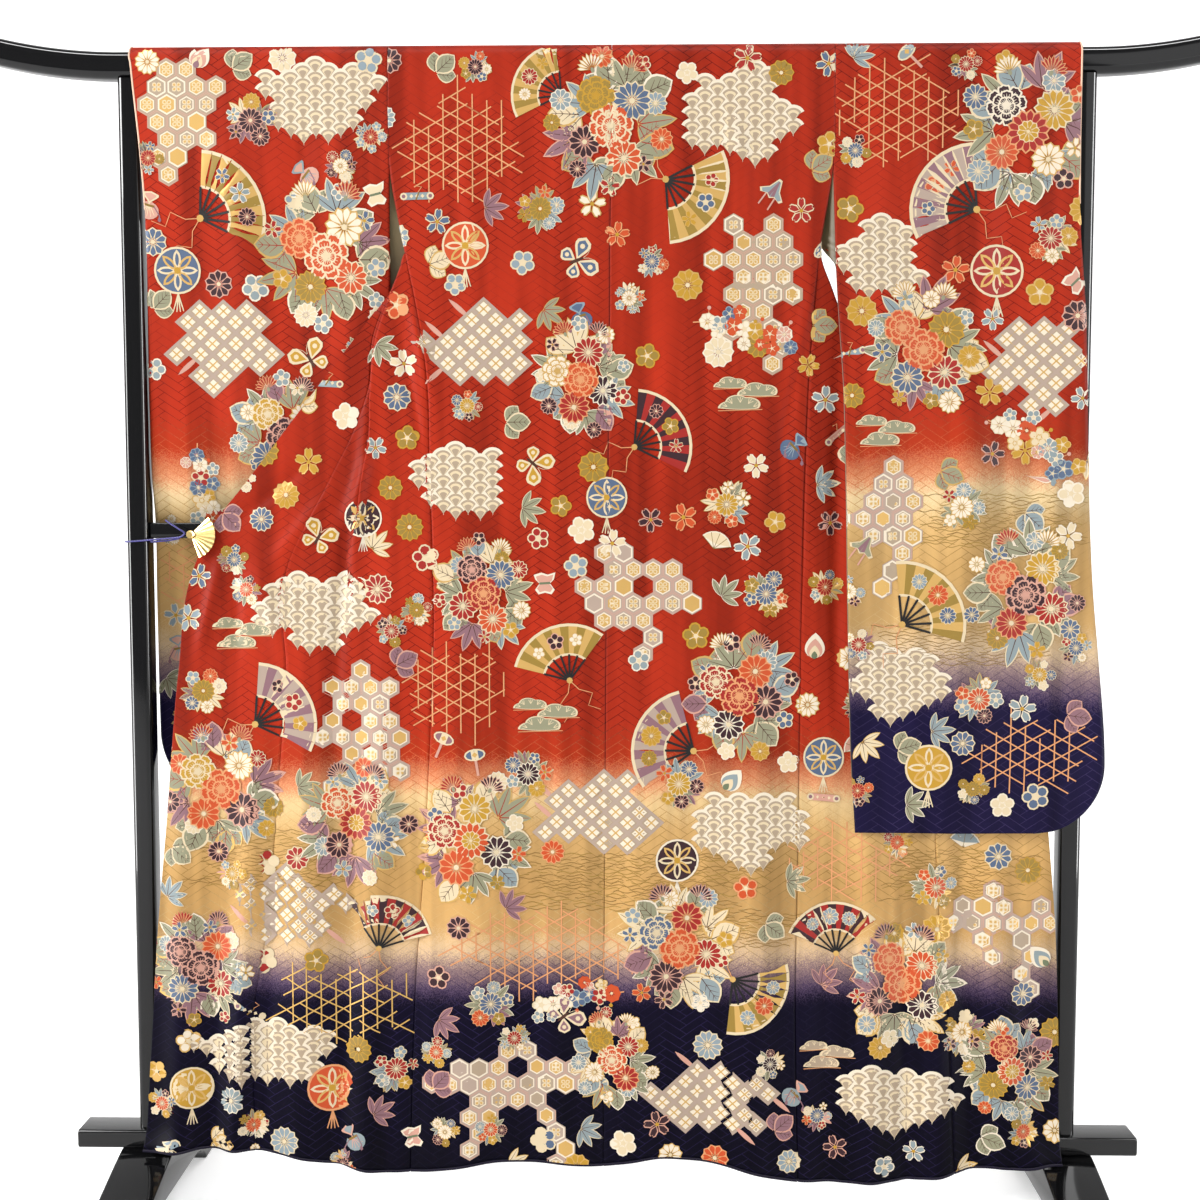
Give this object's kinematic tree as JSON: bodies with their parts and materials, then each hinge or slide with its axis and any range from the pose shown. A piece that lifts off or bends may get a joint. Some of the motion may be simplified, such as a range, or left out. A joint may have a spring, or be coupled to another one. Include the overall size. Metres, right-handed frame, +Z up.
{
  "type": "furisode kimono on a kimono stand",
  "caption": "Long-sleeved formal kimono, seen from its back, draped open over a black lacquer kimono stand with rails, posts and arched feet.",
  "frame": {"origin": "on the floor, at the middle of the stand's footprint", "axes": "+X along the rails to the viewer's right with the garment's back in view, +Y away from that viewer, +Z up"},
  "size_m": [1.84, 0.46, 1.7427],
  "materials": {
    "black_lacquer": "polished black lacquer over wood",
    "body_silk": "figured silk, vermilion above, gold and deep violet at the skirt",
    "sleeve_silk": "figured silk, vermilion above, gold and deep violet below",
    "collar_silk": "figured vermilion silk folded double",
    "gilt_brass": "polished gilt",
    "cord_silk": "fine twisted cord"
  },
  "bodies": {
    "root": {"top_rail": "black_lacquer", "mid_rail": "black_lacquer", "lower_rail": "black_lacquer", "post_left": "black_lacquer", "foot_left": "black_lacquer", "back_left": "body_silk", "front_left": "body_silk", "overlap_left": "body_silk", "collar_left": "collar_silk", "sleeve_left_outer": "sleeve_silk", "sleeve_left_inner": "sleeve_silk", "post_right": "black_lacquer", "foot_right": "black_lacquer", "back_right": "body_silk", "front_right": "body_silk", "overlap_right": "body_silk", "collar_right": "collar_silk", "sleeve_right_outer": "sleeve_silk", "sleeve_right_inner": "sleeve_silk", "collar_neck": "collar_silk", "clip_fan_left": "gilt_brass", "clip_jaw_left": "gilt_brass", "clip_pivot_left": "gilt_brass", "clip_cord_left": "cord_silk", "clip_fan_right": "gilt_brass", "clip_jaw_right": "gilt_brass", "clip_pivot_right": "gilt_brass", "clip_cord_right": "cord_silk"}
  },
  "joints": []
}
